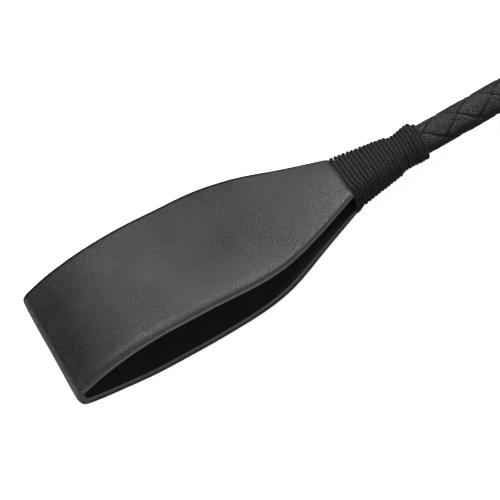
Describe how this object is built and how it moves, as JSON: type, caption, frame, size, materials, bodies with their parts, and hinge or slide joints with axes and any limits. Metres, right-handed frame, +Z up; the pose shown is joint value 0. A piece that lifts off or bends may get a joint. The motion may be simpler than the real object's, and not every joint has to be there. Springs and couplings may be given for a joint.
{
  "type": "riding crop",
  "caption": "Riding crop with a folded leather keeper bound by cord to a plaited shaft, a leather-wrapped grip with two collar knots, a butt cap and a wrist loop.",
  "frame": {"origin": "on the surface that the crop lies on, under the middle of its box", "axes": "+X along the shaft from the keeper to the wrist loop, +Z up from the surface"},
  "size_m": [0.6216, 0.053, 0.0201],
  "materials": {
    "keeper_leather": "smooth black strap leather, satin",
    "keeper_lining": "matt black split leather",
    "binding_cord": "waxed braided black cord",
    "fibreglass": "black glass fibre rod",
    "bolster_tape": "cotton tape",
    "plait_leather": "smooth black lace leather, satin",
    "grip_rubber": "firm black rubber",
    "grip_leather": "grained black leather, satin",
    "knot_leather": "smooth black lace leather, satin",
    "cap_plastic": "turned black plastic",
    "steel": "plated steel",
    "strap_leather": "smooth black strap leather, satin"
  },
  "bodies": {
    "crop": {"keeper_tail_upper": "keeper_leather", "keeper_tail_lower": "keeper_leather", "binding_cord": "binding_cord", "core_rod": "fibreglass", "shaft_bolster": "bolster_tape", "plait_strand_right_1": "plait_leather", "plait_strand_right_2": "plait_leather", "plait_strand_right_3": "plait_leather", "plait_strand_left_1": "plait_leather", "plait_strand_left_2": "plait_leather", "plait_strand_left_3": "plait_leather", "grip_core": "grip_rubber", "grip_wrap": "grip_leather", "front_knot": "knot_leather", "rear_knot": "knot_leather", "butt_cap": "cap_plastic", "butt_pin": "steel", "strap_end_left": "strap_leather", "strap_end_right": "strap_leather"},
    "keeper": {"keeper_face": "keeper_leather", "keeper_lining": "keeper_lining"},
    "wrist_loop": {"wrist_strap": "strap_leather", "strap_rivet": "steel"}
  },
  "joints": [
    {"name": "keeper_flex", "type": "hinge", "parent": "crop", "child": "keeper", "pos_m": [-0.20183, 0, 0.0097], "axis": [0, 1, 0], "range_deg": [-25, 25], "stiffness_Nm_per_rad": 0.3},
    {"name": "wrist_loop_swing", "type": "hinge", "parent": "crop", "child": "wrist_loop", "pos_m": [0.15857, 0, 0.0097], "axis": [0, 0, 1], "range_deg": [-70, 70]}
  ]
}
